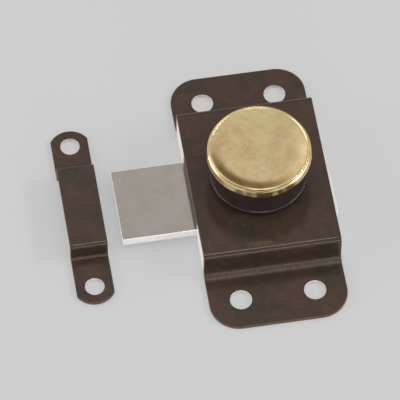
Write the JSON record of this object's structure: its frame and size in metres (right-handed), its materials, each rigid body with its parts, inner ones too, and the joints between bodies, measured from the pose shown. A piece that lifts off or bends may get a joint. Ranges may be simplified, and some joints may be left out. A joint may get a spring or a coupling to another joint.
{
  "type": "turn-knob bolt latch",
  "caption": "Surface-mounted cupboard latch: a quarter turn of the brass-capped knob slides a flat bolt out of a stamped strap case into a separate strap keeper.",
  "frame": {"origin": "centre of the case's four screw holes, on the plane that the case is screwed to", "axes": "+Z out of the mounting plane towards the knob, +Y along the case, and the bolt shoots towards -X"},
  "size_m": [0.0691, 0.077, 0.0229],
  "materials": {
    "case_lacquer": "semi-gloss mottled bronze-brown lacquer on stamped steel",
    "satin_nickel": "satin nickel plate",
    "bright_zinc": "bright zinc plate",
    "cap_brass": "satin brass, faintly mottled",
    "turned_brass": "turned",
    "dark_moulding": "near-black brown, glossy",
    "spring_steel": "blued spring steel",
    "drive_steel": "plain steel, lightly oiled"
  },
  "bodies": {
    "case": {"case_cover": "case_lacquer", "guide_tray": "bright_zinc", "face_bush": "turned_brass", "detent_spring": "spring_steel", "spring_rivets": "bright_zinc"},
    "knob": {"knob_cap": "cap_brass", "knob_collar": "dark_moulding", "knob_insert": "drive_steel", "knob_screw": "bright_zinc", "screw_washer": "bright_zinc", "spindle": "drive_steel", "crank_arm": "drive_steel", "crank_pin": "drive_steel", "thrust_washer": "drive_steel", "disc_spring": "spring_steel"},
    "bolt": {"bolt_plate": "satin_nickel", "stop_stud": "drive_steel"},
    "keeper": {"keeper_strap": "case_lacquer"}
  },
  "joints": [
    {"name": "knob_turn", "type": "hinge", "parent": "case", "child": "knob", "pos_m": [0, 0, 0], "axis": [0, 0, -1], "range_deg": [0, 90]},
    {"name": "bolt_slide", "type": "slide", "parent": "case", "child": "bolt", "axis": [1, 0, 0], "range_m": [0, 0.01203], "deforming": ["detent_spring"]},
    {"name": "keeper_fit", "type": "slide", "parent": "case", "child": "keeper", "axis": [0.9981, -0.0624, 0], "range_m": [0, 0.01443]}
  ],
  "couplings": [
    {"joint": "bolt_slide", "follows": "knob_turn", "m_per_rad": 0.007653}
  ]
}
